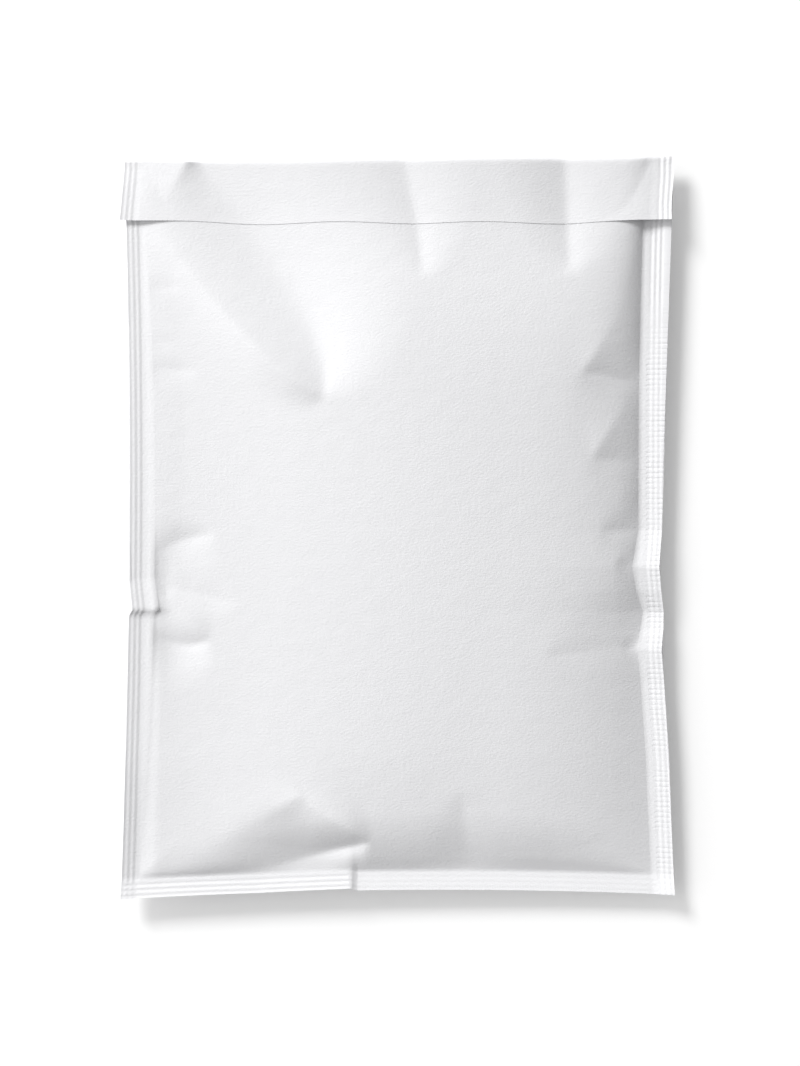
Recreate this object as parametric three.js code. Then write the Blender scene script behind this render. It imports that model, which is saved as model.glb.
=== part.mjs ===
// Padded paper mailer, filled, sealed and lying on its back. Two layers of padded paper are crimped
// together down both sides and along the bottom. The flap folds over at the top and is glued down,
// with its two ends standing free over the side seals.
// Millimetres, +Z up, +Y towards the folded top, origin on the floor under the middle of the pack.
import * as THREE from 'three';

// Flat size of the pack
const WIDTH = 250;
const LENGTH = 335;

// Heights of the filled pack
const SEAM_HEIGHT = 8; // the crimped strips float this far above the floor at the bottom end
const SEAM_TILT = 1.8; // the left seal is this much higher, the right one this much lower
const FOLD_LIFT = 2; // the folded top edge lies this much higher than the bottom seal
const FOLD_ARCH = 7; // and its middle this much higher again
const CROWN = 13; // rise of the front panel above its seams

// Crimped seals: long grooves pressed through both layers
const LEFT_SEAL = 7.4;
const RIGHT_SEAL = 9.8;
const BOTTOM_SEAL = 8.8;
const SEAL_THICKNESS = 0.8;
const GROOVE_COUNT = 3;
const GROOVE_PITCH = 2.4;
const GROOVE_INSET = 1.05; // from the cut edge to the first groove
const GROOVE_DEPTH = 0.3;
const SIDE_CURL = 0.9; // the cut edges turn up by this
const BOTTOM_CURL = 2.3;

// How the filling draws the edges in, seen from above
const WAIST = 4.4; // each side at mid-length
const SHOULDER = 2.2; // each side at the fold
const ARCH = 3.2; // bottom seal at mid-width
const BOTTOM_SKEW = 1.6; // right bottom corner above the left one
const TOP_SKEW = 3.4; // left end of the fold below the right one
const SEAM_BOW = 2.2; // unfilled margin beside the side seals at mid-length

// Front panel beside the left seal: a small step up, a shallow hollow and a long slow rise
const LEFT_REACH = 168;
const LEFT_REACH_LOSS = 60; // the rise is this much shorter at the bottom end
const LEFT_STEP = 0.8;
const LEFT_STEP_GAIN = 4.5; // the step is this much higher at the bottom end
const LEFT_STEP_REACH = 3.2;
const LEFT_STEP_SPREAD = 5; // and this much wider
const FOOT_FALL = 4; // above 1 these changes stay nearer the bottom end
const LEFT_HOLLOW = 1.4;
const HOLLOW_REACH = 14;
const HOLLOW_START = 150; // the hollow deepens over about this length from the bottom edge

// Front panel beside the other edges: how far in it rises, and how full its slope is there
const RIGHT_REACH = 66;
const RIGHT_FULLNESS = 1.6;
const RIGHT_FULLNESS_GAIN = 0.9; // the slope is this much fuller at the top end
const RIGHT_STEP = 0.9;
const RIGHT_STEP_ROUND = 2;
const BOTTOM_REACH = 60;
const BOTTOM_FULLNESS = 1.15;
const BOTTOM_CROWN = 21; // height the bottom slope would get to without the level panel above it
const TOP_REACH = 128;
const FOLD_ROLL = 2.5; // height of the rounded folded edge
const FOLD_ROUND = 0.5;
const HIP_BLEND = 3; // softness of the hips where two slopes meet
const BOTTOM_BLEND = 8; // softness of the shoulder above the bottom slope
const SHARPEST_BLEND = 0.1;
const BOTTOM_EASE = 0.36; // share of its height that the level panel loses towards the bottom seal
const EASE_REACH = 170;

// Underside: flat where the pack rests, rounded up to its seams
const BACK_SIDE_REACH = 46;
const BACK_BOTTOM_REACH = 46;
const BACK_TOP_REACH = 72;
const BACK_FULLNESS = 2;

// Closing flap
const FLAP_DEPTH = 29.4;
const FLAP_SKEW = 1.2; // deeper by this at its right end, shallower at its left
const FLAP_WAVE = 0.5; // waviness of the free edge
const WAVE_LENGTH = 68;
const WAVE_START = 5.5;
const FLAP_CORNER = 2; // the free edge curves up by this at its two ends
const FLAP_THICKNESS = 0.5;
const FLAP_LIP = 4; // unglued strip along the free edge
const LIP_GAP = 0.25; // the lip stands off the panel by this
const END_LENGTH = 27; // each free end of the flap, from the glue to the cut edge
const END_HINGE = 8.5; // the ends are fully free this far from the cut edge
const LEFT_END_GAP = 2.4; // height of the free ends above the side seals
const RIGHT_END_GAP = 3.6;
const END_SPREAD = 2.7; // the free ends stand out past the drawn-in sides by this
const FOLD_GLUE = 3; // the layers part this far from the fold at the free ends

// Creases that the filling leaves in the front panel. Each is a pointed hollow: its tip lies `inset`
// from an edge, at `along` from the middle of that edge, and its valley runs towards the edge. `lean`
// turns the valley anticlockwise from square in degrees, and `bend` turns it further on its way. The
// walls are up to `wallA` (anticlockwise side) and `wallB` (clockwise side) wide, and the hollow gets
// `depth` deep over about `run` from the tip and is gone at `length`. `openA` and `openB` are the widths
// of the walls for each millimetre from the tip, until they are full. A wall with a `leaf` closes again
// at that distance. A crease with a negative depth is a ridge.
const TOP_CREASES = [
  {
    along: -34, inset: 108.5, lean: -10, bend: 41, wallA: 48, wallB: 85,
    depth: 9, run: 45, length: 260, leaf: 130,
  },
  {
    along: -34, inset: 108.5, lean: 66, bend: -24, wallA: 24, wallB: 38,
    depth: -3.6, run: 20, length: 170,
  },
  { along: 11, inset: 55, lean: 4, bend: 8, wallA: 50, wallB: 36, depth: 2.6, run: 14 },
  { along: 77, inset: 53.7, lean: 2, wallA: 36, wallB: 50, depth: 4.5, run: 16 },
];
const LEFT_CREASES = [
  { along: -3.2, inset: 42.3, lean: -2, bend: 46, wallA: 40, wallB: 18, depth: 2, run: 11, openA: 2.4 },
  { along: -34, inset: 52.5, lean: -14, wallA: 30, wallB: 20, depth: 1, run: 12 },
  { along: -32.7, inset: 22, lean: -64, wallA: 9, wallB: 12, depth: 1.6, run: 6 },
  { along: -50, inset: 39.6, lean: 34, bend: -100, wallA: 44, wallB: 26, depth: 2.6, run: 11, openA: 2 },
  { along: -50, inset: 39.6, lean: -41, wallA: 10, wallB: 24, depth: -1.5, run: 8, length: 50 },
];
const RIGHT_CREASES = [
  { along: 70, inset: 42, lean: -10, wallA: 46, wallB: 46, depth: 5, run: 15, openB: 2.5 },
  { along: 70, inset: 42, lean: 58, wallA: 26, wallB: 16, depth: -1.8, run: 12, length: 45 },
  { along: 31, inset: 38, lean: -3, wallA: 46, wallB: 34, depth: 2.8, run: 14, openB: 2.5 },
  { along: 31, inset: 38, lean: 58, wallA: 26, wallB: 14, depth: -2, run: 10, length: 50 },
  { along: -2, inset: 34, lean: 5, wallA: 36, wallB: 30, depth: 3.5, run: 12, openB: 2.5 },
  { along: -16.5, inset: 27, lean: -10, wallA: 24, wallB: 24, depth: 3, run: 9 },
  { along: -54.5, inset: 24, lean: 0, wallA: 24, wallB: 24, depth: 2.6, run: 9 },
  { along: -58, inset: 58, lean: 8, wallA: 40, wallB: 40, depth: 1.2, run: 18 },
];
const BOTTOM_CREASES = [
  { along: -13.5, inset: 26, lean: -75, wallA: 36, wallB: 34, depth: 5, run: 12, length: 75 },
  { along: -13.5, inset: 26, lean: -123, wallA: 16, wallB: 30, depth: -3, run: 9, length: 60 },
  { along: -42, inset: 48, lean: -62, wallA: 30, wallB: 110, depth: -1.4, run: 14, length: 130 },
  { along: 28.5, inset: 48, lean: 6, wallA: 40, wallB: 34, depth: 1.8, run: 18 },
];
const CREASES = { top: TOP_CREASES, left: LEFT_CREASES, right: RIGHT_CREASES, bottom: BOTTOM_CREASES };
const CREASE_OPENING = 1.3; // for the walls that have no `openA` or `openB`
const CREASE_CURVE = 2; // above 1 the walls round off into the panel
const CREASE_ROUND = 0.7; // softness of the valley line
const CREASE_BEND_RUN = 50; // a valley makes most of its bend over this length
const CREASE_LEAF = 3; // above 1 a leaf stays wide for longer
const CREASE_SEAM_FADE = 6; // creases die out this close to the seams
const OUTWARDS = { right: 0, top: 90, left: 180, bottom: 270 };

// Kinks where the seals buckle. Each peak lies at `along` from the middle of its edge, and its two
// slopes are `before` and `after` long. It lifts the strip, pulls it in, and tucks its seam in.
const KINKS = [
  { edge: 'left', along: -36.5, before: 2.8, after: 14, lift: 3.2, pull: 1.7, tuck: 0.8 },
  { edge: 'right', along: -18, before: 20, after: 17, lift: 3.6, pull: 1.6, tuck: 1.6 },
  { edge: 'right', along: -39, before: 10, after: 10, lift: -1.2, pull: -0.4, tuck: -1.2 },
  { edge: 'right', along: -55.5, before: 16, after: 9, lift: 2.4, pull: 1, tuck: 0.4 },
  { edge: 'bottom', along: -21, before: 42, after: 1.5, lift: 2.8, pull: 1, tuck: 0 },
];
const KINK_FADE = { left: 3, right: 8, bottom: 8 }; // kinks die out this far into the panel
const TUCK_FADE = 8;

// Spacing of the lines that the sheet is drawn on
const PANEL_SPACING = 7.4;
const BACK_SPACING = 26;
const FIRST_SPACING = 1.5; // beside the seams, growing to the full spacing
const SPACING_GROWTH = 1.5;
const CLOSEST_SPACING = 0.6;
const ROLL_LINES = [0, 0.5, 1.5, 4];
const FLAP_SPACING = 6.4;
const POCKET_STEPS = 4;

const HALF_WIDTH = WIDTH / 2;
const HALF_LENGTH = LENGTH / 2;

function clamp(value, low, high) {
  return Math.min(Math.max(value, low), high);
}

function ease(share) {
  const q = clamp(share, 0, 1);
  return q * q * (3 - 2 * q);
}

// The lower of two heights, with a rounded hip where they meet that sharpens towards the seams
function softMin(a, b, softness) {
  const blend = clamp((a + b) / 2, SHARPEST_BLEND, softness);
  const h = clamp(0.5 + (0.5 * (b - a)) / blend, 0, 1);
  return b + (a - b) * h - blend * h * (1 - h);
}

// A convex slope that climbs from 0 to 1 over its reach and then stays level
function climb(distance, reach, power) {
  return 1 - clamp(1 - distance / reach, 0, 1) ** power;
}

// A rounding that is nearly complete after three times its size
function roundOver(distance, size) {
  return 1 - Math.exp(-Math.max(distance, 0) / size);
}

// Sum of the kinks on one seal at a place along it
function tents(amount, edge, position) {
  let sum = 0;
  for (const kink of KINKS) {
    if (kink.edge === edge) {
      const run = position < kink.along ? kink.before : kink.after;
      sum += kink[amount] * Math.max(1 - Math.abs(position - kink.along) / run, 0);
    }
  }
  return sum;
}

// A point of the flat sheet is given by `s` across from its middle and `t` up from the bottom edge.
// The seam of a side seal lies this far in from the cut edge.
function seamInset(edge, t) {
  const seal = edge === 'left' ? LEFT_SEAL : RIGHT_SEAL;
  return seal + SEAM_BOW * (1 - (t / HALF_LENGTH - 1) ** 2) + tents('tuck', edge, t - HALF_LENGTH);
}

function sideDistance(edge, fromEdge, t) {
  const near = fromEdge - seamInset(edge, t);
  return near + tents('tuck', edge, t - HALF_LENGTH) * roundOver(near, TUCK_FADE);
}

// Distances to the four seams, measured inwards, so they are negative on the strips
function seamDistances(s, t) {
  return {
    left: sideDistance('left', HALF_WIDTH + s, t),
    right: sideDistance('right', HALF_WIDTH - s, t),
    bottom: t - BOTTOM_SEAL,
    top: LENGTH - t,
  };
}

// Sum of the kinks on one seal at a point of the sheet
function kinked(amount, edge, s, t) {
  const position = edge === 'bottom' ? s : t - HALF_LENGTH;
  const inwards = Math.max(seamDistances(s, t)[edge], 0);
  return tents(amount, edge, position) * Math.exp(-inwards / KINK_FADE[edge]);
}

// Where a point of the sheet lies, seen from above
function plan(s, t) {
  const up = t / LENGTH;
  const over = s / WIDTH + 0.5;
  const draw = (2 * SHOULDER - 4 * WAIST) * up ** 2 + (4 * WAIST - SHOULDER) * up;
  const fromLeft = draw * (1 - over) ** 2 + kinked('pull', 'left', s, t);
  const fromRight = draw * over ** 2 + kinked('pull', 'right', s, t);
  const arch = ARCH * (1 - (2 * over - 1) ** 2) + BOTTOM_SKEW * over;
  const fromBottom = arch * (1 - up) ** 3 + kinked('pull', 'bottom', s, t);
  const fromTop = TOP_SKEW * (1 - over) * up ** 2;
  return new THREE.Vector2(s + fromLeft - fromRight, t - HALF_LENGTH + fromBottom - fromTop);
}

// Depth of the crimp at a distance from the cut edge
function groove(fromEdge) {
  const turn = (fromEdge - GROOVE_INSET) / GROOVE_PITCH;
  if (turn < -0.5 || turn > GROOVE_COUNT - 0.5) {
    return 0;
  }
  return GROOVE_DEPTH * (0.5 + 0.5 * Math.cos(2 * Math.PI * turn));
}

// Height of the mid-plane between the two layers, as the strips carry it
function seamHeight(s, t) {
  const distance = seamDistances(s, t);
  const sideCurl = Math.max(-distance.left, -distance.right, 0) * (SIDE_CURL / LEFT_SEAL);
  const bottomCurl = Math.max(-distance.bottom, 0) * (BOTTOM_CURL / BOTTOM_SEAL);
  const across = s / HALF_WIDTH;
  const fold = (FOLD_LIFT + FOLD_ARCH * (1 - across ** 2)) * (t / LENGTH) ** 2;
  const sideKinks = kinked('lift', 'left', s, t) + kinked('lift', 'right', s, t);
  const kinks = sideKinks + kinked('lift', 'bottom', s, t);
  const crimp = Math.max(groove(s + HALF_WIDTH), groove(HALF_WIDTH - s), groove(t));
  return SEAM_HEIGHT - SEAM_TILT * across + fold + sideCurl + bottomCurl + kinks - crimp;
}

// Depth of one crease of an edge at a point seen from above
function creaseDepth(edge, crease, point) {
  const { along, inset, lean, bend = 0, wallA, wallB, depth, run } = crease;
  const { length = Infinity, leaf = Infinity, openA = CREASE_OPENING, openB = CREASE_OPENING } = crease;
  const tips = {
    right: [HALF_WIDTH - inset, along],
    top: [along, HALF_LENGTH - inset],
    left: [inset - HALF_WIDTH, along],
    bottom: [along, inset - HALF_LENGTH],
  };
  const arm = new THREE.Vector2(...tips[edge]).negate().add(point);
  const radius = arm.length();
  const heading = OUTWARDS[edge] + lean + bend * roundOver(radius, CREASE_BEND_RUN);
  const bearing = THREE.MathUtils.radToDeg(arm.angle());
  const turn = THREE.MathUtils.euclideanModulo(bearing - heading + 180, 360) - 180;
  const aside = radius * THREE.MathUtils.degToRad(turn);
  const closing = Math.max(1 - (radius / leaf) ** CREASE_LEAF, 0);
  const wall = (aside > 0 ? wallA * closing : wallB) + CREASE_ROUND;
  const opening = aside > 0 ? openA : openB;
  const reach = wall * roundOver(radius * opening, wall) + CREASE_ROUND;
  const slope = Math.max(1 - Math.hypot(aside, CREASE_ROUND) / reach, 0) ** CREASE_CURVE;
  return depth * roundOver(radius, run) * slope * (1 - ease(radius / length));
}

// Depth at a point of the sheet of all creases that start at the given edges
function creased(edges, s, t) {
  const distance = seamDistances(s, t);
  const nearest = Math.min(distance.left, distance.right, distance.bottom);
  const point = plan(s, t);
  const depths = edges.flatMap((edge) => CREASES[edge].map((crease) => creaseDepth(edge, crease, point)));
  return depths.reduce((sum, depth) => sum + depth, 0) * roundOver(nearest, CREASE_SEAM_FADE);
}

// Outer face of the front panel
function frontHeight(s, t) {
  const distance = seamDistances(s, t);
  const strip = seamHeight(s, t) + SEAL_THICKNESS / 2;
  if (Math.min(distance.left, distance.right, distance.bottom) <= 0) {
    return strip;
  }
  const foot = (1 - t / LENGTH) ** FOOT_FALL;
  const step = LEFT_STEP + LEFT_STEP_GAIN * foot;
  const stepReach = LEFT_STEP_REACH + LEFT_STEP_SPREAD * foot;
  const hollow = LEFT_HOLLOW * roundOver(t, HOLLOW_START);
  const leftReach = LEFT_REACH - LEFT_REACH_LOSS * foot;
  const leftRise = (CROWN - step + hollow) * ease(distance.left / leftReach);
  const leftRoll = step * ease(distance.left / stepReach) - hollow * ease(distance.left / HOLLOW_REACH);
  const left = leftRoll + leftRise;
  const rightStep = RIGHT_STEP * roundOver(distance.right, RIGHT_STEP_ROUND);
  const fullness = RIGHT_FULLNESS + (RIGHT_FULLNESS_GAIN * t) / LENGTH;
  const right = rightStep + (CROWN - RIGHT_STEP) * climb(distance.right, RIGHT_REACH, fullness);
  const bottom = BOTTOM_CROWN * climb(distance.bottom, BOTTOM_REACH, BOTTOM_FULLNESS);
  const foldRoll = FOLD_ROLL * roundOver(distance.top, FOLD_ROUND);
  const top = foldRoll + (CROWN - FOLD_ROLL) * ease(distance.top / TOP_REACH);
  const sides = softMin(softMin(left, right, HIP_BLEND), top, HIP_BLEND);
  const sag = BOTTOM_EASE * (1 - climb(distance.bottom, EASE_REACH, 2));
  const rise = Math.max(softMin(sides * (1 - sag), bottom, BOTTOM_BLEND), 0);
  return strip + rise - creased(Object.keys(OUTWARDS), s, t);
}

// Outer face of the back panel, which dips with the folded edge at the top creases
function backHeight(s, t) {
  const distance = seamDistances(s, t);
  const left = climb(distance.left, BACK_SIDE_REACH, BACK_FULLNESS);
  const right = climb(distance.right, BACK_SIDE_REACH, BACK_FULLNESS);
  const bottom = climb(distance.bottom, BACK_BOTTOM_REACH, BACK_FULLNESS);
  const top = climb(distance.top, BACK_TOP_REACH, BACK_FULLNESS);
  const edgeHeight = seamHeight(s, t) - SEAL_THICKNESS / 2 - creased(['top'], s, t);
  return edgeHeight * (1 - left * right * bottom * top);
}

// How free the flap is across the pack: 0 where it is glued, 1 at its two ends
function flapFreedom(s) {
  return ease((Math.abs(s) - HALF_WIDTH + END_LENGTH) / (END_LENGTH - END_HINGE));
}

// A point of the flap is given by `s` across and by `v` down from the fold.
function flapDepth(s) {
  const across = s / HALF_WIDTH;
  const wave = FLAP_WAVE * Math.cos((2 * Math.PI * (s - WAVE_START)) / WAVE_LENGTH);
  return FLAP_DEPTH + FLAP_SKEW * across + wave - FLAP_CORNER * across ** 4;
}

function glueLine(s) {
  return THREE.MathUtils.lerp(flapDepth(s) - FLAP_LIP, FOLD_GLUE, flapFreedom(s));
}

// Inner face of the flap, which parts from the front panel below the glue line
function flapPoint(s, v, thickness) {
  const parted = Math.max(v - glueLine(s), 0) / (flapDepth(s) - glueLine(s));
  const endGap = s < 0 ? LEFT_END_GAP : RIGHT_END_GAP;
  const free = flapFreedom(s);
  const place = plan(s, LENGTH - v);
  const x = place.x + Math.sign(s) * END_SPREAD * free * parted;
  const z = frontHeight(s, LENGTH - v) + THREE.MathUtils.lerp(LIP_GAP, endGap, free) * parted + thickness;
  return new THREE.Vector3(x, place.y, z);
}

function panelPoint(s, t, z) {
  const place = plan(s, t);
  return new THREE.Vector3(place.x, place.y, z);
}

// Lines across a strip: its cut edge, the bottoms and tops of its grooves, and its inner edge
function sealLines(width) {
  const lines = [0];
  for (let i = 0; i < 2 * GROOVE_COUNT; i += 1) {
    lines.push(GROOVE_INSET + (i * GROOVE_PITCH) / 2);
  }
  lines.push(width);
  return lines;
}

// Lines from one seam to another: close together beside the seams, and through the given places
function panelLines(from, to, spacing, places) {
  const marks = [from, ...places.filter((place) => place > from && place < to), to].sort((a, b) => a - b);
  const lines = [];
  let next = from;
  for (const mark of marks) {
    while (mark - next > CLOSEST_SPACING) {
      lines.push(next);
      const room = Math.min(next - from, to - next) * (SPACING_GROWTH - 1) + FIRST_SPACING;
      const left = mark - next;
      next += left / Math.ceil(left / Math.min(room, spacing));
    }
    next = mark;
  }
  return lines.slice(1);
}

// Places along an edge where its kinks begin, peak and end
function kinkPlaces(edges) {
  const chosen = KINKS.filter((kink) => edges.includes(kink.edge));
  return chosen.flatMap((kink) => [kink.along - kink.before, kink.along, kink.along + kink.after]);
}

function stationLines() {
  const leftSeam = LEFT_SEAL - HALF_WIDTH;
  const rightSeam = HALF_WIDTH - RIGHT_SEAL;
  return [
    ...sealLines(LEFT_SEAL).map((line) => line - HALF_WIDTH),
    ...panelLines(leftSeam, rightSeam, PANEL_SPACING, kinkPlaces(['bottom'])),
    ...sealLines(RIGHT_SEAL).map((line) => HALF_WIDTH - line).reverse(),
  ];
}

// A line along the pack follows both seams in proportion to its place between them
function alongSeams(station, t) {
  const leftSeam = LEFT_SEAL - HALF_WIDTH;
  const rightSeam = HALF_WIDTH - RIGHT_SEAL;
  if (station < leftSeam || station > rightSeam) {
    return station;
  }
  const across = (station - leftSeam) / (rightSeam - leftSeam);
  const left = seamInset('left', t) - HALF_WIDTH;
  const right = HALF_WIDTH - seamInset('right', t);
  return THREE.MathUtils.lerp(left, right, across);
}

// The closed profile of the pack along one line: up the back, round the fold, down the flap, up under
// its free edge to the glue, and down the front
function profile(station) {
  const strip = sealLines(BOTTOM_SEAL);
  const places = kinkPlaces(['left', 'right']).map((place) => place + HALF_LENGTH);
  const onPanel = (t, height) => {
    const s = alongSeams(station, t);
    return panelPoint(s, t, height(s, t));
  };
  const onFlap = (v, thickness) => flapPoint(alongSeams(station, LENGTH - v), v, thickness);
  const backLines = [...strip, ...panelLines(BOTTOM_SEAL, LENGTH, BACK_SPACING, places), LENGTH];
  const points = backLines.map((t) => onPanel(t, backHeight));

  const lastRoll = ROLL_LINES[ROLL_LINES.length - 1];
  const depth = flapDepth(station);
  const glue = glueLine(station);
  const flapSteps = Math.round((FLAP_DEPTH - lastRoll) / FLAP_SPACING);
  ROLL_LINES.forEach((v) => points.push(onFlap(v, FLAP_THICKNESS)));
  for (let i = 1; i <= flapSteps; i += 1) {
    points.push(onFlap(THREE.MathUtils.lerp(lastRoll, depth, i / flapSteps), FLAP_THICKNESS));
  }
  for (let i = 0; i < POCKET_STEPS; i += 1) {
    points.push(onFlap(THREE.MathUtils.lerp(depth, glue, i / POCKET_STEPS), 0));
  }

  const mouth = LENGTH - FLAP_DEPTH;
  const frontLines = [...strip, ...panelLines(BOTTOM_SEAL, mouth, PANEL_SPACING, places)].reverse();
  for (let i = 0; i < POCKET_STEPS; i += 1) {
    points.push(onPanel(THREE.MathUtils.lerp(LENGTH - glue, mouth, i / POCKET_STEPS), frontHeight));
  }
  frontLines.forEach((t) => points.push(onPanel(t, frontHeight)));
  return points;
}

// Lofts the profile across the pack and closes it at the two cut edges
function loftGeometry() {
  const rings = stationLines().map(profile);
  const count = rings[0].length;
  const triangles = [];
  for (let i = 0; i + 1 < rings.length; i += 1) {
    for (let j = 0; j < count; j += 1) {
      const a = i * count + j;
      const b = i * count + ((j + 1) % count);
      triangles.push(a, b, b + count, a, b + count, a + count);
    }
  }
  const last = (rings.length - 1) * count;
  const sideView = (ring) => ring.map((point) => new THREE.Vector2(point.y, point.z));
  const capOf = (ring) => THREE.ShapeUtils.triangulateShape(sideView(ring), []);
  capOf(rings[0]).forEach(([a, b, c]) => triangles.push(a, c, b));
  capOf(rings[rings.length - 1]).forEach(([a, b, c]) => triangles.push(last + a, last + b, last + c));
  const geometry = new THREE.BufferGeometry().setFromPoints(rings.flat());
  geometry.setIndex(triangles);
  geometry.computeVertexNormals();
  return geometry;
}

const paper = new THREE.MeshStandardMaterial({ color: 0xe9e9eb, roughness: 0.62, metalness: 0 });
const mailer = new THREE.Mesh(loftGeometry(), paper);
mailer.name = 'bubble_mailer';

const pack = new THREE.Group();
pack.add(mailer);

export default pack;
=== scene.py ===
import bmesh
import bpy
import numpy as np
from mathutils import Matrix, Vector
from mathutils.geometry import tessellate_polygon


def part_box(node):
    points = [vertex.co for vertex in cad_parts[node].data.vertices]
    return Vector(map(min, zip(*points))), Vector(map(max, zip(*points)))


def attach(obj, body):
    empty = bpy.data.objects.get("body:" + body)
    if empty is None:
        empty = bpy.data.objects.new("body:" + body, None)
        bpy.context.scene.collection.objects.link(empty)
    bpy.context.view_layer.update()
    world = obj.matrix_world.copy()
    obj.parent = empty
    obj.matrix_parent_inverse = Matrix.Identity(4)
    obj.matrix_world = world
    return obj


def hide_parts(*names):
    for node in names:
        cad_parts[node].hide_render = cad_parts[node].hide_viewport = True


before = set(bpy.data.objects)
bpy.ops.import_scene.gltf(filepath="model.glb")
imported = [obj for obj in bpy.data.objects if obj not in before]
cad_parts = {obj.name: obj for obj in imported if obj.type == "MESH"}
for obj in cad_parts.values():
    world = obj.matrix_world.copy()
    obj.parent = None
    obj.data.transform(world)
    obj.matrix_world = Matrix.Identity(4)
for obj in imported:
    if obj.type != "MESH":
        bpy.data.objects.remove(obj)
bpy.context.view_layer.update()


# Crimped seals
# Two layers of padded white paper are pressed together between hot ribbed bars along both sides and
# the bottom. The bars leave three narrow grooves, and the seals are bent where the pack was squeezed.
# Lengths are in millimetres; `s` runs across the flat sheet from its middle, `t` up from the bottom.
MM = 0.001
low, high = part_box("bubble_mailer")
WIDTH = (high.x - low.x) / MM
LENGTH = (high.y - low.y) / MM
HALF_WIDTH = WIDTH / 2
HALF_LENGTH = LENGTH / 2

SEAM_HEIGHT = 8.0  # of the seals above the table
SEAM_TILT = 1.8  # higher at the left edge and lower at the right
LEFT_LIFT = 4.0  # the left seal rises by this from the bottom corner
LIFT_RUN = 66.0
FOLD_LIFT = 2.0  # the top fold lies higher than the bottom seal
FOLD_ARCH = 7.0  # and higher again in its middle
LEFT_SEAL = 7.4
RIGHT_SEAL = 9.8
BOTTOM_SEAL = 8.8
SEAM_BOW = dict(left=4.2, right=1.0)  # the side seals are wider halfway up
SEAL_THICKNESS = 0.8
GROOVE_COUNT = 3
GROOVE_PITCH = 2.4
GROOVE_INSET = 1.05  # from the outer edge to the first groove
LEFT_GROOVE = 0.15
RIGHT_GROOVE = 0.14
RIGHT_GROOVE_GAIN = 0.12  # deeper above the toothed stretch of the bar
TEETH_END = 262.0  # the bar had cross teeth up to here
TEETH_FADE = 12.0
BOTTOM_GROOVE = 0.07
BOTTOM_GROOVE_GAIN = 0.16  # deeper to the left of the fold in the bottom seal
BOTTOM_FOLD = -21.0
BOTTOM_FOLD_RUN = 1.5
RIBBED = GROOVE_INSET + GROOVE_PITCH * (GROOVE_COUNT - 0.5)
LEFT_CURL = 0.9  # the outer edges of the seals turn up
LEFT_LIP = 0.5  # the left seal also rises towards its seam
LIP_REACH = 5.0
RIGHT_CURL = 1.4
RIB_CURL = 0.8  # the right ribs turn up more than the rest of their seal
BOTTOM_CURL = 2.3

WAIST = 4.4  # the sides are drawn in halfway up
RIGHT_DRAW = 1.35  # the right side is drawn in further, from a start on the way up
RIGHT_DRAW_START = 58.0
RIGHT_DRAW_RUN = 40.0
SHOULDER = 2.2  # the sides are drawn in at the top
ARCH = 3.2  # the bottom edge is drawn up in its middle
BOTTOM_SKEW = 1.6  # and at its right end
TOP_SKEW = 3.4  # the top edge lies lower at its left end
TOP_FLARE = 3.25  # the right side spreads out again towards the fold
FLARE_RUN = 29.0
FLARE_SHARPNESS = 4
ARCH_FADE = 3

# A kink is a bend across a seal. It runs some way before and after its place along the edge, lifts the
# seal, pulls in the outer edge and tucks the seam further in.
KINKS = [
    dict(edge="left", along=-36.5, before=2.8, after=14, lift=1.3, pull=1.7, tuck=0.8),
    dict(edge="right", along=-18, before=20, after=17, lift=2.2, pull=1.6, tuck=1.6),
    dict(edge="right", along=-39, before=10, after=10, lift=-1, pull=-0.4, tuck=-1.2),
    dict(edge="right", along=-55.5, before=16, after=9, lift=1, pull=1, tuck=0.4),
    dict(edge="bottom", along=BOTTOM_FOLD, before=42, after=2.4, lift=1.3, pull=1, tuck=0),
]
KINK_FADE = dict(left=3.0, right=18.0, bottom=8.0)
TUCK_FADE = 8.0  # a tuck is lost over this distance inside the seam


def ease(share):
    q = np.clip(share, 0, 1)
    return q * q * (3 - 2 * q)


def round_over(distance, size):
    return 1 - np.exp(-np.maximum(distance, 0) / size)


def tents(amount, edge, position):
    total = 0 * position
    for kink in KINKS:
        if kink["edge"] == edge:
            run = np.where(position < kink["along"], kink["before"], kink["after"])
            total = total + kink[amount] * np.maximum(1 - np.abs(position - kink["along"]) / run, 0)
    return total


def seam_inset(edge, t):
    seal = dict(left=LEFT_SEAL, right=RIGHT_SEAL)[edge]
    bow = SEAM_BOW[edge] * (1 - (t / HALF_LENGTH - 1) ** 2)
    return seal + bow + tents("tuck", edge, t - HALF_LENGTH)


def side_distance(edge, from_edge, t):
    near = from_edge - seam_inset(edge, t)
    return near + tents("tuck", edge, t - HALF_LENGTH) * round_over(near, TUCK_FADE)


def seam_distances(s, t):
    return dict(
        left=side_distance("left", HALF_WIDTH + s, t),
        right=side_distance("right", HALF_WIDTH - s, t),
        bottom=t - BOTTOM_SEAL,
        top=LENGTH - t,
    )


def kinked(amount, edge, s, t):
    position = s if edge == "bottom" else t - HALF_LENGTH
    inwards = np.maximum(seam_distances(s, t)[edge], 0)
    return tents(amount, edge, position) * np.exp(-inwards / KINK_FADE[edge])


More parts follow.
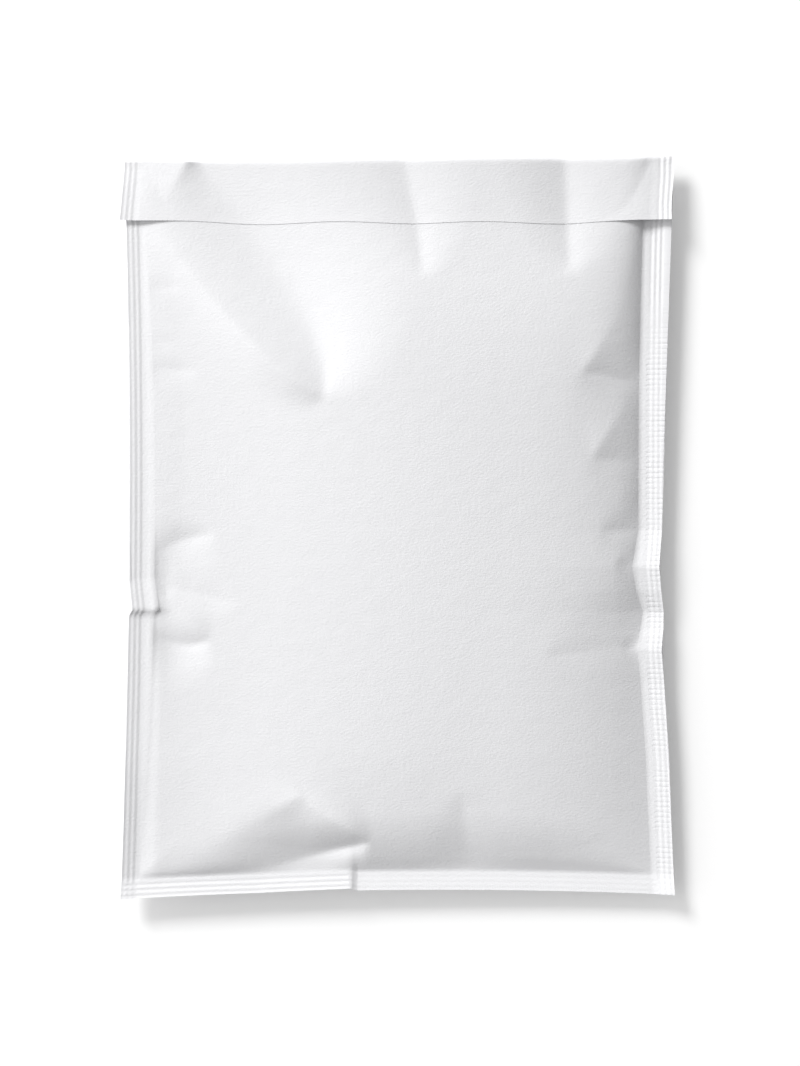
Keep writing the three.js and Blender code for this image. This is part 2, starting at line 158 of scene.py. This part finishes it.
def plan(s, t):
    up = t / LENGTH
    over = s / WIDTH + 0.5
    draw = (2 * SHOULDER - 4 * WAIST) * up**2 + (4 * WAIST - SHOULDER) * up
    from_left = draw * (1 - over) ** 2 + kinked("pull", "left", s, t)
    flare = TOP_FLARE * ease((t - LENGTH) / FLARE_RUN + 1)
    right_draw = draw + RIGHT_DRAW * ease((t - RIGHT_DRAW_START) / RIGHT_DRAW_RUN)
    from_right = right_draw * over**2 - flare * over**FLARE_SHARPNESS + kinked("pull", "right", s, t)
    arch = ARCH * (1 - (2 * over - 1) ** 2) + BOTTOM_SKEW * over
    from_bottom = arch * (1 - up) ** ARCH_FADE + kinked("pull", "bottom", s, t)
    from_top = TOP_SKEW * (1 - over) * up**2
    return s + from_left - from_right, t - HALF_LENGTH + from_bottom - from_top


def groove(from_edge, depth):
    turn = np.clip((from_edge - GROOVE_INSET) / GROOVE_PITCH, -0.5, GROOVE_COUNT - 0.5)
    return depth * (0.5 + 0.5 * np.cos(2 * np.pi * turn))


def left_lip(t):
    return LEFT_LIP * 4 * t / LENGTH * (1 - t / LENGTH)


def seam_height(s, t):
    distance = seam_distances(s, t)
    margin = seam_inset("left", t) - RIBBED
    lip = left_lip(t) * np.clip(1 + distance["left"] / margin, 0, 1)
    left_curl = np.maximum(RIBBED - HALF_WIDTH - s, 0) * LEFT_CURL / RIBBED
    right_curl = np.maximum(-distance["right"], 0) * RIGHT_CURL / RIGHT_SEAL
    rib_curl = np.maximum(RIBBED - HALF_WIDTH + s, 0) * RIB_CURL / RIBBED
    bottom_curl = np.maximum(-distance["bottom"], 0) * BOTTOM_CURL / BOTTOM_SEAL
    fold = (FOLD_LIFT + FOLD_ARCH * (1 - (s / HALF_WIDTH) ** 2)) * (t / LENGTH) ** 2
    kinks = sum(kinked("lift", edge, s, t) for edge in ("left", "right", "bottom"))
    right_groove = RIGHT_GROOVE + RIGHT_GROOVE_GAIN * ease((t - TEETH_END) / TEETH_FADE)
    side_crimp = groove(s + HALF_WIDTH, LEFT_GROOVE) + groove(HALF_WIDTH - s, right_groove)
    left_half = ease((BOTTOM_FOLD - s) / BOTTOM_FOLD_RUN)
    crimp = np.maximum(side_crimp, groove(t, BOTTOM_GROOVE + BOTTOM_GROOVE_GAIN * left_half))
    lift = LEFT_LIFT * (0.5 - s / WIDTH) * ease(t / LIFT_RUN)
    level = SEAM_HEIGHT - SEAM_TILT * s / HALF_WIDTH + lift
    curl = left_curl + right_curl + rib_curl + bottom_curl
    return level + fold + curl + lip + kinks - crimp


# Front panel
# The upper layer is padded paper, swollen by the filling. It rises steeply at the right and bottom
# seals, slowly at the left, and is pinched into pointed creases wherever a seal holds it back.
CROWN = 11.6  # rise of the panel above its seams
LEFT_REACH = 160.0  # from the left seam to the full rise
LEFT_REACH_LOSS = 60.0  # shorter at the bottom end
LEFT_STEP = 0.5  # a low step where the panel leaves the left seal
LEFT_STEP_GAIN = 0.4  # higher at the bottom end
LEFT_STEP_REACH = 3.2
LEFT_STEP_SPREAD = 6.0  # wider at the bottom end
FOOT_FALL = 4.0  # how soon the bottom end is left behind
RIGHT_CROWN = 11.0
RIGHT_REACH = 68.0
RIGHT_FULLNESS = 1.6  # the larger, the steeper at the seam
RIGHT_FULLNESS_GAIN = 1.5  # steeper towards the top
RIGHT_STEP = 1.8  # a step at the right seam, from a share of the length upwards
RIGHT_STEP_ROUND = 4.0
RIGHT_STEP_START = 0.25
RIGHT_STEP_RUN = 0.3
BOTTOM_CROWN = 25.0
BOTTOM_REACH = 60.0
BOTTOM_FULLNESS = 1.15
TOP_REACH = 128.0
FOLD_ROLL = 2.5  # the rounded fold at the top
FOLD_ROUND = 0.5
RIDGE_BLEND = 8.0  # softness where the rises from the left and right meet
HIP_BLEND = 3.0  # where they meet the rise from the top
BOTTOM_BLEND = 5.5  # and where they meet the rise from the bottom
SHARPEST_BLEND = 0.1
BOTTOM_EASE = 0.26  # the panel sinks by this share towards the bottom
EASE_REACH = 170.0
EASE_FULLNESS = 2.0

# A crease starts at a tip, `along` its edge and `inset` from it, and runs out to the edge, turned by
# `lean` and then by `bend` degrees. It has two walls, of which the first may close like a leaf. Its
# depth grows over `run` and is gone at `length`, and is negative on a ridge. `open_a` and `open_b` say
# how fast the walls widen at the tip, and `round` and `soften` how round the bottom is.
TOP_CREASES = [
    dict(along=-34, inset=108.5, lean=-10, bend=41, wall_a=48, wall_b=85,
         depth=10.6, run=62, length=200, leaf=123, soften=8),
    dict(along=-34, inset=108.5, lean=66, bend=-24, wall_a=16, wall_b=32,
         depth=-4.6, run=20, length=170, round=1.5),
    dict(along=11, inset=55, lean=4, bend=8, wall_a=50, wall_b=36, depth=2.2, run=14, round=1.4),
    dict(along=77, inset=53.7, lean=2, wall_a=30, wall_b=50, depth=3.3, run=16, round=1.8),
]
LEFT_CREASES = [
    dict(along=108.5, inset=27, lean=0, wall_a=10, wall_b=6, depth=0.5, run=6),
    dict(along=83.5, inset=27, lean=0, wall_a=10, wall_b=6, depth=0.4, run=6),
    dict(along=70.5, inset=35, lean=-4, wall_a=12, wall_b=7, depth=0.7, run=8),
    dict(along=-3.2, inset=42.3, lean=-2, bend=46, wall_a=40, wall_b=18,
         depth=2, run=11, open_a=2.4),
    dict(along=-34, inset=52.5, lean=-14, wall_a=30, wall_b=20, depth=1, run=12),
    dict(along=-32.7, inset=22, lean=-64, wall_a=9, wall_b=12, depth=1.6, run=6),
    dict(along=-50, inset=39.6, lean=34, bend=-100, wall_a=56, wall_b=16,
         depth=2.9, run=10, open_a=2),
    dict(along=-50, inset=39.6, lean=-41, wall_a=10, wall_b=24, depth=-1.5, run=8, length=50),
]
RIGHT_CREASES = [
    dict(along=70, inset=42, lean=-10, wall_a=46, wall_b=46, depth=2.8, run=15, open_b=2.5),
    dict(along=70, inset=42, lean=58, wall_a=26, wall_b=16, depth=-1, run=12, length=45),
    dict(along=31, inset=38, lean=-3, wall_a=46, wall_b=34, depth=1.6, run=14, open_b=2.5),
    dict(along=31, inset=38, lean=58, wall_a=26, wall_b=14, depth=-1.1, run=10, length=50),
    dict(along=-2, inset=34, lean=5, wall_a=36, wall_b=30, depth=2, run=12, open_b=2.5),
    dict(along=-16.5, inset=27, lean=-10, wall_a=24, wall_b=24, depth=3, run=9),
    dict(along=-54.5, inset=24, lean=0, wall_a=24, wall_b=24, depth=3.2, run=9),
    dict(along=-58, inset=58, lean=8, wall_a=40, wall_b=40, depth=1.2, run=18),
]
BOTTOM_CREASES = [
    dict(along=-13.5, inset=26, lean=-75, wall_a=36, wall_b=46, depth=6.6, run=12, length=75),
    dict(along=-13.5, inset=26, lean=-123, wall_a=16, wall_b=30, depth=-3, run=9, length=60),
    dict(along=-42, inset=48, lean=-62, wall_a=32, wall_b=150,
         depth=-2.3, run=14, length=150, soften=5),
    dict(along=28.5, inset=48, lean=6, wall_a=40, wall_b=34, depth=2, run=18, soften=5),
]
CREASES = dict(top=TOP_CREASES, left=LEFT_CREASES, right=RIGHT_CREASES, bottom=BOTTOM_CREASES)
CREASE_OPENING = 1.3
CREASE_CURVE = 2.0  # the walls flatten out away from the bottom of a crease
CREASE_BEND_RUN = 50.0
CREASE_SEAM_FADE = dict(top=16.0, left=7.0, right=6.0, bottom=6.0)
CREASE_ROUND = 0.7
CREASE_LEAF = 4.5  # how late a leaf closes
CREASE_SOFT_RUN = 30.0
OUTWARDS = dict(right=0, top=90, left=180, bottom=270)  # degrees from +X


def soft_min(a, b, softness):
    blend = np.clip((a + b) / 2, SHARPEST_BLEND, softness)
    h = np.clip(0.5 + 0.5 * (b - a) / blend, 0, 1)
    return b + (a - b) * h - blend * h * (1 - h)


def climb(distance, reach, power):
    return 1 - np.clip(1 - distance / reach, 0, 1) ** power


def crease_tip(edge, along, inset):
    return dict(
        right=(HALF_WIDTH - inset, along),
        top=(along, HALF_LENGTH - inset),
        left=(inset - HALF_WIDTH, along),
        bottom=(along, inset - HALF_LENGTH),
    )[edge]


def crease_depth(edge, crease, x, y):
    tip_x, tip_y = crease_tip(edge, crease["along"], crease["inset"])
    radius = np.hypot(x - tip_x, y - tip_y)
    bend = crease.get("bend", 0) * round_over(radius, CREASE_BEND_RUN)
    heading = OUTWARDS[edge] + crease["lean"] + bend
    turn = np.degrees(np.arctan2(y - tip_y, x - tip_x)) - heading
    aside = radius * np.radians((turn + 180) % 360 - 180)
    closing = np.maximum(1 - (radius / crease.get("leaf", np.inf)) ** CREASE_LEAF, 0)
    softening = crease.get("soften", 0) * closing * round_over(radius, CREASE_SOFT_RUN)
    rounding = crease.get("round", CREASE_ROUND) + softening
    wall = np.where(aside > 0, crease["wall_a"] * closing, crease["wall_b"]) + rounding
    open_a = crease.get("open_a", CREASE_OPENING)
    open_b = crease.get("open_b", CREASE_OPENING)
    opening = np.where(aside > 0, open_a, open_b)
    reach = wall * round_over(radius * opening, wall) + rounding
    rounded = np.hypot(aside, rounding) - rounding
    slope = np.maximum(1 - rounded / reach, 0) ** CREASE_CURVE
    fade = 1 - ease(radius / crease.get("length", np.inf))
    return crease["depth"] * round_over(radius, crease["run"]) * slope * fade


def creased(edges, s, t):
    distance = seam_distances(s, t)
    nearest = np.minimum(np.minimum(distance["left"], distance["right"]), distance["bottom"])
    x, y = plan(s, t)
    total = 0 * x
    for edge in edges:
        depth = sum(crease_depth(edge, crease, x, y) for crease in CREASES[edge])
        total = total + depth * round_over(nearest, CREASE_SEAM_FADE[edge])
    return total


def front_height(s, t):
    distance = seam_distances(s, t)
    nearest = np.minimum(np.minimum(distance["left"], distance["right"]), distance["bottom"])
    up = t / LENGTH
    foot = (1 - up) ** FOOT_FALL
    step = LEFT_STEP * (1 - up) + LEFT_STEP_GAIN * foot
    step_reach = LEFT_STEP_REACH + LEFT_STEP_SPREAD * foot
    left_reach = LEFT_REACH - LEFT_REACH_LOSS * foot
    left_rise = (CROWN - step) * ease(distance["left"] / left_reach)
    left_roll = step * ease(distance["left"] / step_reach)
    left = left_rise + left_roll - left_lip(t) * round_over(distance["left"], LIP_REACH)
    right_step = RIGHT_STEP * ease((up - RIGHT_STEP_START) / RIGHT_STEP_RUN)
    right_rise = climb(distance["right"], RIGHT_REACH, RIGHT_FULLNESS + RIGHT_FULLNESS_GAIN * up)
    right_roll = right_step * round_over(distance["right"], RIGHT_STEP_ROUND)
    right = right_roll + (RIGHT_CROWN - right_step) * right_rise
    bottom = BOTTOM_CROWN * climb(distance["bottom"], BOTTOM_REACH, BOTTOM_FULLNESS)
    fold_roll = FOLD_ROLL * round_over(distance["top"], FOLD_ROUND)
    top = fold_roll + (CROWN - FOLD_ROLL) * ease(distance["top"] / TOP_REACH)
    sides = soft_min(soft_min(left, right, RIDGE_BLEND), top, HIP_BLEND)
    sag = BOTTOM_EASE * (1 - climb(distance["bottom"], EASE_REACH, EASE_FULLNESS))
    rise = soft_min(sides * (1 - sag), bottom, BOTTOM_BLEND)
    panel = np.where(nearest > 0, np.maximum(rise, 0), 0) - creased(OUTWARDS, s, t)
    return seam_height(s, t) + SEAL_THICKNESS / 2 + panel


# Back panel
# The lower layer is the same padded paper. It lies flat on the table under the weight of the filling
# and rounds up to the seals on three sides and to the fold at the top, which dips at the top creases.
BACK_SIDE_REACH = 46.0
BACK_BOTTOM_REACH = 46.0
BACK_TOP_REACH = 72.0
BACK_FULLNESS = 2.0  # of the round up to the seals


def back_height(s, t):
    distance = seam_distances(s, t)
    left = climb(distance["left"], BACK_SIDE_REACH, BACK_FULLNESS)
    right = climb(distance["right"], BACK_SIDE_REACH, BACK_FULLNESS)
    bottom = climb(distance["bottom"], BACK_BOTTOM_REACH, BACK_FULLNESS)
    top = climb(distance["top"], BACK_TOP_REACH, BACK_FULLNESS)
    edge_height = seam_height(s, t) - SEAL_THICKNESS / 2 - creased(["top"], s, t)
    return edge_height * (1 - left * right * bottom * top)


# Closing flap
# The back layer runs on past the mouth, folds over at the top and is glued to the front panel up to a
# narrow lip. Its two ends have no glue under them and stand clear of the side seals.
FLAP_DEPTH = 29.4
FLAP_CORNER = 2.0  # the lower edge runs up at both ends
FLAP_CORNER_SHARPNESS = 4
FLAP_SKEW = 1.2  # deeper at the right end
FLAP_WAVE = 0.5  # the lower edge is wavy
WAVE_LENGTH = 68.0
WAVE_START = 5.5
FLAP_THICKNESS = 0.22
FLAP_LIP = 4.0  # free of glue along the lower edge
LIP_GAP = 0.06
END_LENGTH = 34.0  # each end is free of glue over this length
END_HINGE = 8.5  # and wholly free over this part of it, at the edge
LEFT_END_GAP = 2.4  # above the side seal
RIGHT_END_GAP = 3.6
LEFT_END_SPREAD = 2.7  # outwards past the side seal
RIGHT_END_SPREAD = 2.7
FOLD_GLUE = 3.0  # the free ends are still held near the fold


def mix(a, b, share):
    return a + (b - a) * share


def sheet_points(x, y, z, s, t):
    return np.stack(np.broadcast_arrays(x, y, z, s, t), -1)


def flap_freedom(s):
    return ease((np.abs(s) - HALF_WIDTH + END_LENGTH) / (END_LENGTH - END_HINGE))


def flap_depth(s):
    wave = FLAP_WAVE * np.cos(2 * np.pi * (s - WAVE_START) / WAVE_LENGTH)
    corner = FLAP_CORNER * (s / HALF_WIDTH) ** FLAP_CORNER_SHARPNESS
    return FLAP_DEPTH + FLAP_SKEW * s / HALF_WIDTH + wave - corner


def glue_line(s):
    return mix(flap_depth(s) - FLAP_LIP, FOLD_GLUE, flap_freedom(s))


def flap_point(s, v, thickness):
    parted = np.maximum(v - glue_line(s), 0) / (flap_depth(s) - glue_line(s))
    free = flap_freedom(s)
    spread = np.where(s < 0, -LEFT_END_SPREAD, RIGHT_END_SPREAD) * free * parted
    end_gap = np.where(s < 0, LEFT_END_GAP, RIGHT_END_GAP) * parted
    t = LENGTH - v
    hinge = HALF_WIDTH - END_LENGTH
    outwards = np.maximum(np.abs(s) - hinge, 0) / END_LENGTH
    end_height = seam_height(s, t) + SEAL_THICKNESS / 2 + end_gap
    straight = mix(front_height(np.clip(s, -hinge, hinge), t), end_height, outwards)
    x, y = plan(s, t)
    z = np.maximum(front_height(s, t) + LIP_GAP * parted, straight) + thickness
    return sheet_points(x + spread, y, z, s, t)


# The folded pack
# Both layers and the flap are one closed skin of paper. It is drawn on lines that follow the seals,
# the grooves and the seams, fine enough for the creases to stay sharp.
LINE_SPACING = 1.2
SEAL_STEP = 0.4
LINE_GROWTH = 0.3
BACK_SPACING = 10.0
ROLL_LINES = [0, 0.4, 0.9, 1.6, 2.6, 4]  # closer together over the fold
POCKET_STEPS = 6
FLAP_STEPS = 22
SHARP_FOLD = 60


def seal_lines(width, step):
    return [*np.linspace(0, RIBBED, round(RIBBED / step) + 1), (RIBBED + width) / 2, width]


def growing_lines(length, first, spacing):
    lines = [first]
    while lines[-1] < length / 2:
        lines.append(lines[-1] + min(spacing, first + LINE_GROWTH * lines[-1]))
    scale = length / 2 / lines[-1]
    half = [line * scale for line in lines]
    return half + [length - line for line in reversed(half[:-1])]


def through_kinks(lines, edges, start):
    lines = np.array(lines)
    for kink in KINKS:
        if kink["edge"] in edges:
            bend = kink["along"] + start
            for place in (bend - kink["before"], bend, bend + kink["after"]):
                lines[np.abs(lines - place).argmin()] = place
    return lines


def across_lines():
    left = np.array(seal_lines(LEFT_SEAL, SEAL_STEP)) - HALF_WIDTH
    right = HALF_WIDTH - np.array(seal_lines(RIGHT_SEAL, SEAL_STEP))[::-1]
    panel = np.array(growing_lines(WIDTH - LEFT_SEAL - RIGHT_SEAL, SEAL_STEP, LINE_SPACING))
    return through_kinks(np.concatenate([left, panel + LEFT_SEAL - HALF_WIDTH, right]), ["bottom"], 0)


def along_seams(station, t):
    left_seam = LEFT_SEAL - HALF_WIDTH
    right_seam = HALF_WIDTH - RIGHT_SEAL
    left_ribs = RIBBED - HALF_WIDTH
    right_ribs = HALF_WIDTH - RIBBED
    places = [left_ribs, left_seam, right_seam, right_ribs]
    to_left = np.interp(station, places, [0, 1, 0, 0]) * (seam_inset("left", t) - LEFT_SEAL)
    to_right = np.interp(station, places, [0, 0, 1, 0]) * (seam_inset("right", t) - RIGHT_SEAL)
    return station + to_left - to_right


def panel_points(stations, t, height):
    s = along_seams(stations, t)
    x, y = plan(s, t)
    return sheet_points(x, y, height(s, t), s, t)


def flap_points(stations, v, thickness):
    return flap_point(along_seams(stations, LENGTH - v), v, thickness)


def profile_points():
    stations = across_lines()[:, None]
    depth = flap_depth(stations)
    glue = glue_line(stations)
    mouth = LENGTH - FLAP_DEPTH
    steps = np.arange(POCKET_STEPS)[None] / POCKET_STEPS
    back = seal_lines(BOTTOM_SEAL, LINE_SPACING)
    back += list(np.arange(BOTTOM_SEAL + LINE_SPACING, LENGTH, BACK_SPACING)) + [LENGTH]
    rows = round((mouth - BOTTOM_SEAL) / LINE_SPACING)
    panel = np.linspace(BOTTOM_SEAL, mouth, rows + 1)[1:-1]
    panel = through_kinks(panel, ["left", "right"], HALF_LENGTH)
    front = seal_lines(BOTTOM_SEAL, SEAL_STEP) + list(panel)
    fall = np.arange(1, FLAP_STEPS + 1)[None] / FLAP_STEPS
    return np.concatenate([
        panel_points(stations, np.array(back)[None], back_height),
        flap_points(stations, np.array(ROLL_LINES)[None], FLAP_THICKNESS),
        flap_points(stations, mix(ROLL_LINES[-1], depth, fall), FLAP_THICKNESS),
        flap_points(stations, mix(depth, glue, steps), 0),
        panel_points(stations, mix(LENGTH - glue, mouth, steps), front_height),
        panel_points(stations, np.array(front)[None, ::-1], front_height),
    ], axis=1)


def loft(points):
    stations, count = points.shape[:2]
    station = np.arange(stations - 1)[:, None] * count
    corner = np.arange(count)[None]
    following = np.roll(corner, -1, axis=1)
    quads = np.stack([station + corner, station + following,
                      station + following + count, station + corner + count], -1)
    faces = quads.reshape(-1, 4).tolist()
    for ring in (0, stations - 1):
        outline = [Vector((0, y, z)) for y, z in points[ring, :, 1:3]]
        faces += [[ring * count + i for i in corners] for corners in tessellate_polygon([outline])]
    mesh = bpy.data.meshes.new("mailer")
    rows = points.reshape(-1, 5) * MM
    mesh.from_pydata(rows[:, :3].tolist(), [], faces)
    shell = bmesh.new()
    shell.from_mesh(mesh)
    bmesh.ops.recalc_face_normals(shell, faces=shell.faces)
    shell.to_mesh(mesh)
    shell.free()
    corner_rows = np.empty(len(mesh.loops), dtype=int)
    mesh.loops.foreach_get("vertex_index", corner_rows)
    mesh.uv_layers.new(name="sheet").data.foreach_set("uv", rows[corner_rows, 3:].ravel())
    mesh.shade_smooth()
    mesh.set_sharp_from_angle(angle=np.radians(SHARP_FOLD))
    return mesh


mailer = bpy.data.objects.new("mailer", loft(profile_points()))
bpy.context.collection.objects.link(mailer)
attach(mailer, "root")
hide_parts("bubble_mailer")


# Paper
# Bleached white kraft paper with a calendered, half-matt face. Short fibres lie mostly across the
# sheet, and they give it a fine grain and a faint cloudy look. Where the ribbed bars of the right and
# the bottom seal had cross teeth, small ticks are pressed into the ribs.
PAPER_DARK = (0.785, 0.785, 0.8, 1)
PAPER_LIGHT = (0.855, 0.855, 0.87, 1)
ROUGHNESS_RANGE = (0.5, 0.6)
FIBRE_SCALE = (680, 1100, 1)
FIBRE_RELIEF = 0.15
FIBRE_TONE = 0.7
FIBRE_DETAIL = 3.0
FLOCK_SCALE = (110, 150, 1)
FLOCK_RELIEF = 0.14
FLOCK_DETAIL = 2.0
SIDE_TICK_PITCH = 2.34
SIDE_TICK_DEPTH = 0.09
BOTTOM_TICK_PITCH = 1.15
BOTTOM_TICK_DEPTH = 0.02
BOTTOM_TICK_START = -19.0
BOTTOM_TICK_REACH = 3.0
TICK_SHARE = 0.7
TICK_FADE = 0.4
TICK_WEAR_SCALE = (90, 90, 1)
TICK_WEAR_DETAIL = 1.0
TICK_WEAR_SPAN = (0.3, 0.7)
TICK_WEAR_RANGE = (0.3, 1.4)


def add_node(tree, kind, inputs, **settings):
    node = tree.nodes.new("ShaderNode" + kind)
    for name, value in settings.items():
        setattr(node, name, value)
    for socket, value in inputs.items():
        if isinstance(value, bpy.types.NodeSocket):
            tree.links.new(value, node.inputs[socket])
        else:
            node.inputs[socket].default_value = value
    return node.outputs


def calculate(tree, operation, *values):
    return add_node(tree, "Math", dict(enumerate(values)), operation=operation)["Value"]


def ramp(tree, value, start, end, low=0.0, high=1.0):
    inputs = {"Value": value, "From Min": start, "From Max": end, "To Min": low, "To Max": high}
    return add_node(tree, "MapRange", inputs, interpolation_type="SMOOTHSTEP")["Result"]


def new_group(name, outputs):
    group = bpy.data.node_groups.new(name, "ShaderNodeTree")
    group.interface.new_socket("Sheet", in_out="INPUT", socket_type="NodeSocketVector")
    for output in outputs:
        group.interface.new_socket(output, in_out="OUTPUT", socket_type="NodeSocketFloat")
    sheet = group.nodes.new("NodeGroupInput").outputs["Sheet"]
    return group, sheet, group.nodes.new("NodeGroupOutput").inputs


def noise(tree, sheet, scale, detail):
    stretched = add_node(tree, "VectorMath", {0: sheet, 1: scale}, operation="MULTIPLY")["Vector"]
    return add_node(tree, "TexNoise", {"Vector": stretched, "Scale": 1.0, "Detail": detail})["Fac"]


def fibre_group():
    group, sheet, outputs = new_group("paper_fibres", ["Height", "Tone"])
    fibres = noise(group, sheet, FIBRE_SCALE, FIBRE_DETAIL)
    flocks = noise(group, sheet, FLOCK_SCALE, FLOCK_DETAIL)
    fibre_height = calculate(group, "MULTIPLY", fibres, FIBRE_RELIEF * MM)
    height = calculate(group, "MULTIPLY_ADD", flocks, FLOCK_RELIEF * MM, fibre_height)
    fibre_tone = calculate(group, "MULTIPLY", fibres, FIBRE_TONE)
    tone = calculate(group, "MULTIPLY_ADD", flocks, 1 - FIBRE_TONE, fibre_tone)
    group.links.new(height, outputs["Height"])
    group.links.new(tone, outputs["Tone"])
    return group


def ticks(tree, along, pitch, depth):
    to_tick = calculate(tree, "PINGPONG", along, pitch * MM / 2)
    return ramp(tree, to_tick, 0.0, pitch * MM / 2 * TICK_SHARE, -depth * MM, 0.0)


def tick_group():
    group, sheet, outputs = new_group("crimp_ticks", ["Height"])
    place = add_node(group, "SeparateXYZ", {"Vector": sheet})
    across, along = place["X"], place["Y"]
    ribs_start = HALF_WIDTH - RIBBED
    on_right = ramp(group, across, (ribs_start - TICK_FADE) * MM, ribs_start * MM)
    on_bottom = ramp(group, along, (BOTTOM_TICK_REACH + TICK_FADE) * MM, BOTTOM_TICK_REACH * MM)
    past_kink = ramp(group, across, (BOTTOM_TICK_START - TICK_FADE) * MM, BOTTOM_TICK_START * MM)
    on_bottom = calculate(group, "MULTIPLY", on_bottom, past_kink)
    side_ticks = ticks(group, along, SIDE_TICK_PITCH, SIDE_TICK_DEPTH)
    toothed = ramp(group, along, TEETH_END * MM, (TEETH_END - TEETH_FADE) * MM)
    side = calculate(group, "MULTIPLY", side_ticks, calculate(group, "MULTIPLY", on_right, toothed))
    bottom_ticks = ticks(group, across, BOTTOM_TICK_PITCH, BOTTOM_TICK_DEPTH)
    bottom = calculate(group, "MULTIPLY", bottom_ticks, on_bottom)
    patches = noise(group, sheet, TICK_WEAR_SCALE, TICK_WEAR_DETAIL)
    wear = ramp(group, patches, *TICK_WEAR_SPAN, *TICK_WEAR_RANGE)
    both = calculate(group, "MULTIPLY", calculate(group, "ADD", side, bottom), wear)
    group.links.new(both, outputs["Height"])
    return group


paper = bpy.data.materials.new("white_paper")
paper.use_nodes = True
tree = paper.node_tree
shader = tree.nodes["Principled BSDF"]
sheet = add_node(tree, "UVMap", {}, uv_map="sheet")["UV"]
fibres = add_node(tree, "Group", {"Sheet": sheet}, node_tree=fibre_group())
crimp = add_node(tree, "Group", {"Sheet": sheet}, node_tree=tick_group())
relief = calculate(tree, "ADD", fibres["Height"], crimp["Height"])
tint = add_node(tree, "MixRGB", {"Fac": fibres["Tone"], "Color1": PAPER_DARK, "Color2": PAPER_LIGHT})
tree.links.new(tint["Color"], shader.inputs["Base Color"])
tree.links.new(ramp(tree, fibres["Tone"], 0.0, 1.0, *ROUGHNESS_RANGE), shader.inputs["Roughness"])
bump = add_node(tree, "Bump", {"Height": relief, "Distance": 1.0})
tree.links.new(bump["Normal"], shader.inputs["Normal"])
mailer.data.materials.append(paper)


# Table
# A wide table top, painted matt white, on which the pack lies. It takes the soft shadow, and the camera
# sees it a little lifted, so that it is plain white around the pack.
TABLE_HALF = 4.0
TABLE_WHITE = (0.88, 0.88, 0.88, 1)
TABLE_ROUGHNESS = 0.9
TABLE_LIFT = 0.2
WHITE = (1, 1, 1, 1)
table_corners = [(-TABLE_HALF, -TABLE_HALF, 0), (TABLE_HALF, -TABLE_HALF, 0),
                 (TABLE_HALF, TABLE_HALF, 0), (-TABLE_HALF, TABLE_HALF, 0)]
floor_mesh = bpy.data.meshes.new("floor")
floor_mesh.from_pydata(table_corners, [], [(0, 1, 2, 3)])
floor = bpy.data.objects.new("floor", floor_mesh)
bpy.context.collection.objects.link(floor)

table_paint = bpy.data.materials.new("white_table")
table_paint.use_nodes = True
tree = table_paint.node_tree
shader = tree.nodes["Principled BSDF"]
shader.inputs["Base Color"].default_value = TABLE_WHITE
shader.inputs["Roughness"].default_value = TABLE_ROUGHNESS
shader.inputs["Specular IOR Level"].default_value = 0.0
shader.inputs["Emission Color"].default_value = WHITE
camera_ray = add_node(tree, "LightPath", {})["Is Camera Ray"]
tree.links.new(calculate(tree, "MULTIPLY", camera_ray, TABLE_LIFT), shader.inputs["Emission Strength"])
floor.data.materials.append(table_paint)


# Light and camera
# One soft key lamp high at the upper left, a white room with a wide window at the left, and a camera
# straight above.
KEY_DIRECTION = Vector((-0.62, 0.78, 0.74)).normalized()
KEY_DISTANCE = 3.2
KEY_SIZE = 1.12
KEY_POWER = 76.5
ROOM_STRENGTH = 0.27
WINDOW_DIRECTION = Vector((-1.0, -0.05, 0.45)).normalized()
WINDOW_STRENGTH = 1.6
WINDOW_FOCUS = 3.0
DIM_FOOT = 0.27
key_data = bpy.data.lights.new("key", "AREA")
key_data.shape = "DISK"
key_data.size = KEY_SIZE
key_data.energy = KEY_POWER
key = bpy.data.objects.new("key", key_data)
key.location = KEY_DIRECTION * KEY_DISTANCE
key.rotation_euler = KEY_DIRECTION.to_track_quat("Z", "Y").to_euler()
bpy.context.collection.objects.link(key)

world = bpy.data.worlds.new("room")
world.use_nodes = True
tree = world.node_tree
outlook = add_node(tree, "TexCoord", {})["Generated"]
leftward = add_node(tree, "VectorMath", {0: outlook, 1: WINDOW_DIRECTION}, operation="DOT_PRODUCT")
facing = calculate(tree, "MAXIMUM", leftward["Value"], 0.0)
window = calculate(tree, "POWER", facing, WINDOW_FOCUS)
brightness = calculate(tree, "MULTIPLY_ADD", window, WINDOW_STRENGTH, ROOM_STRENGTH)
upward = add_node(tree, "SeparateXYZ", {"Vector": outlook})["Y"]
dimmed = calculate(tree, "MULTIPLY_ADD", upward, DIM_FOOT, brightness)
room = tree.nodes["Background"]
room.inputs["Color"].default_value = WHITE
tree.links.new(dimmed, room.inputs["Strength"])
bpy.context.scene.world = world

PHOTO_HEIGHT = 1066
PIXEL = 0.4522 * MM
PHOTO_CENTRE = (400.0, 533.0)
PACK_CENTRE = (397.9, 527.65)
LENS = 100.0
SENSOR = 36.0
camera_data = bpy.data.cameras.new("camera")
camera_data.lens = LENS
camera_data.sensor_width = SENSOR
camera = bpy.data.objects.new("camera", camera_data)
camera.location = (
    (PHOTO_CENTRE[0] - PACK_CENTRE[0]) * PIXEL,
    (PACK_CENTRE[1] - PHOTO_CENTRE[1]) * PIXEL,
    PHOTO_HEIGHT * PIXEL * LENS / SENSOR + SEAM_HEIGHT * MM,
)
bpy.context.collection.objects.link(camera)
bpy.context.scene.camera = camera
bpy.context.scene.view_settings.view_transform = "Standard"
